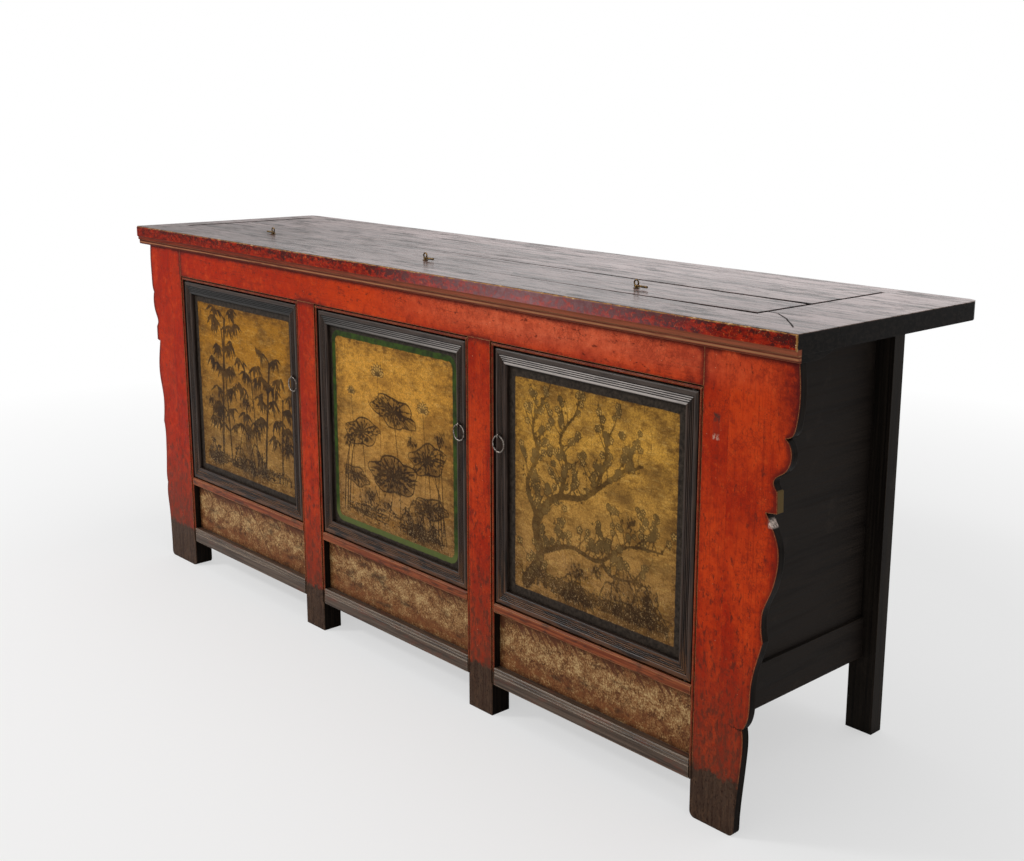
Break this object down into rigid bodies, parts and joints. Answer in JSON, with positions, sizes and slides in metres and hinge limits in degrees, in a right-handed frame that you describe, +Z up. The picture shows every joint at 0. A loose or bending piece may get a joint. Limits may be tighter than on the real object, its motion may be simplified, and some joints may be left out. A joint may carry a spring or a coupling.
{
  "type": "sideboard",
  "caption": "Long low painted sideboard: framed plank top, framed doors on wooden pivots, iron ring pulls, shaped wings beside the front, and lift-out lock pins.",
  "frame": {"origin": "on the floor, at the middle of the piece's width and depth", "axes": "+Z up, +Y from the front to the back, +X to the right as seen from the front"},
  "size_m": [2.12, 0.535, 0.8973],
  "materials": {
    "red_lacquer": "worn red lacquer on softwood",
    "painted_apron": "speckled tan and brown paint, worn",
    "worn_dark_lacquer": "dark lacquer worn to brown",
    "top_lacquer": "dark brown lacquer, polished by use",
    "dark_wood": "dark stained softwood, dull",
    "black_lacquer": "black lacquer, worn on its edges",
    "gold_ground": "ochre gold ground with ink painting under aged varnish",
    "wrought_iron": "dark forged iron",
    "aged_bronze": "dark aged bronze"
  },
  "bodies": {
    "root": {"front_corner_post_left": "red_lacquer", "front_corner_post_right": "red_lacquer", "front_wing_left": "red_lacquer", "front_wing_right": "red_lacquer", "front_mid_post_left": "red_lacquer", "front_mid_post_right": "red_lacquer", "front_top_rail": "red_lacquer", "sill_rail_left": "red_lacquer", "sill_rail_middle": "red_lacquer", "sill_rail_right": "red_lacquer", "apron_panel_left": "painted_apron", "apron_panel_middle": "painted_apron", "apron_panel_right": "painted_apron", "bottom_rail_left": "worn_dark_lacquer", "bottom_rail_middle": "worn_dark_lacquer", "bottom_rail_right": "worn_dark_lacquer", "top_front_board": "top_lacquer", "top_rear_board": "top_lacquer", "top_end_board_left": "top_lacquer", "top_end_board_right": "top_lacquer", "top_middle_board": "top_lacquer", "top_inner_board": "top_lacquer", "top_front_moulding": "top_lacquer", "top_battens": "dark_wood", "floor_boards": "dark_wood", "floor_bearers": "dark_wood", "side_bottom_rails": "dark_wood", "side_top_rails": "dark_wood", "side_panel_left": "dark_wood", "side_panel_right": "dark_wood", "rear_corner_posts": "dark_wood", "rear_mid_posts": "dark_wood", "rear_bottom_rails": "dark_wood", "rear_top_rail": "dark_wood", "rear_panels": "dark_wood"},
    "door_left": {"door_left_top_rail": "black_lacquer", "door_left_bottom_rail": "black_lacquer", "door_left_hinge_stile": "black_lacquer", "door_left_lock_stile": "black_lacquer", "door_left_panel": "gold_ground", "door_left_staple": "wrought_iron"},
    "ring_left": {"door_left_ring_pull": "wrought_iron"},
    "pin_left": {"lock_pin_left": "aged_bronze"},
    "door_middle": {"door_middle_top_rail": "black_lacquer", "door_middle_bottom_rail": "black_lacquer", "door_middle_hinge_stile": "black_lacquer", "door_middle_lock_stile": "black_lacquer", "door_middle_panel": "gold_ground", "door_middle_staple": "wrought_iron"},
    "ring_middle": {"door_middle_ring_pull": "wrought_iron"},
    "pin_middle": {"lock_pin_middle": "aged_bronze"},
    "door_right": {"door_right_top_rail": "black_lacquer", "door_right_bottom_rail": "black_lacquer", "door_right_hinge_stile": "black_lacquer", "door_right_lock_stile": "black_lacquer", "door_right_panel": "gold_ground", "door_right_staple": "wrought_iron"},
    "ring_right": {"door_right_ring_pull": "wrought_iron"},
    "pin_right": {"lock_pin_right": "aged_bronze"}
  },
  "joints": [
    {"name": "door_left_hinge", "type": "hinge", "parent": "root", "child": "door_left", "pos_m": [-0.841, -0.2415, 0.242], "axis": [0, 0, -1], "range_deg": [0, 110]},
    {"name": "ring_left_swing", "type": "hinge", "parent": "door_left", "child": "ring_left", "pos_m": [-0.36, -0.255, 0.58737], "axis": [-1, 0, 0], "range_deg": [0, 160]},
    {"name": "door_middle_hinge", "type": "hinge", "parent": "root", "child": "door_middle", "pos_m": [-0.241, -0.2415, 0.242], "axis": [0, 0, -1], "range_deg": [0, 110]},
    {"name": "ring_middle_swing", "type": "hinge", "parent": "door_middle", "child": "ring_middle", "pos_m": [0.24, -0.255, 0.58737], "axis": [-1, 0, 0], "range_deg": [0, 160]},
    {"name": "door_right_hinge", "type": "hinge", "parent": "root", "child": "door_right", "pos_m": [0.841, -0.2415, 0.242], "axis": [0, 0, 1], "range_deg": [0, 110]},
    {"name": "ring_right_swing", "type": "hinge", "parent": "door_right", "child": "ring_right", "pos_m": [0.36, -0.255, 0.58737], "axis": [-1, 0, 0], "range_deg": [0, 160]},
    {"name": "pin_left_slide", "type": "slide", "parent": "root", "child": "pin_left", "axis": [0, 0, 1], "range_m": [0, 0.06]},
    {"name": "pin_middle_slide", "type": "slide", "parent": "root", "child": "pin_middle", "axis": [0, 0, 1], "range_m": [0, 0.06]},
    {"name": "pin_right_slide", "type": "slide", "parent": "root", "child": "pin_right", "axis": [0, 0, 1], "range_m": [0, 0.06]}
  ]
}
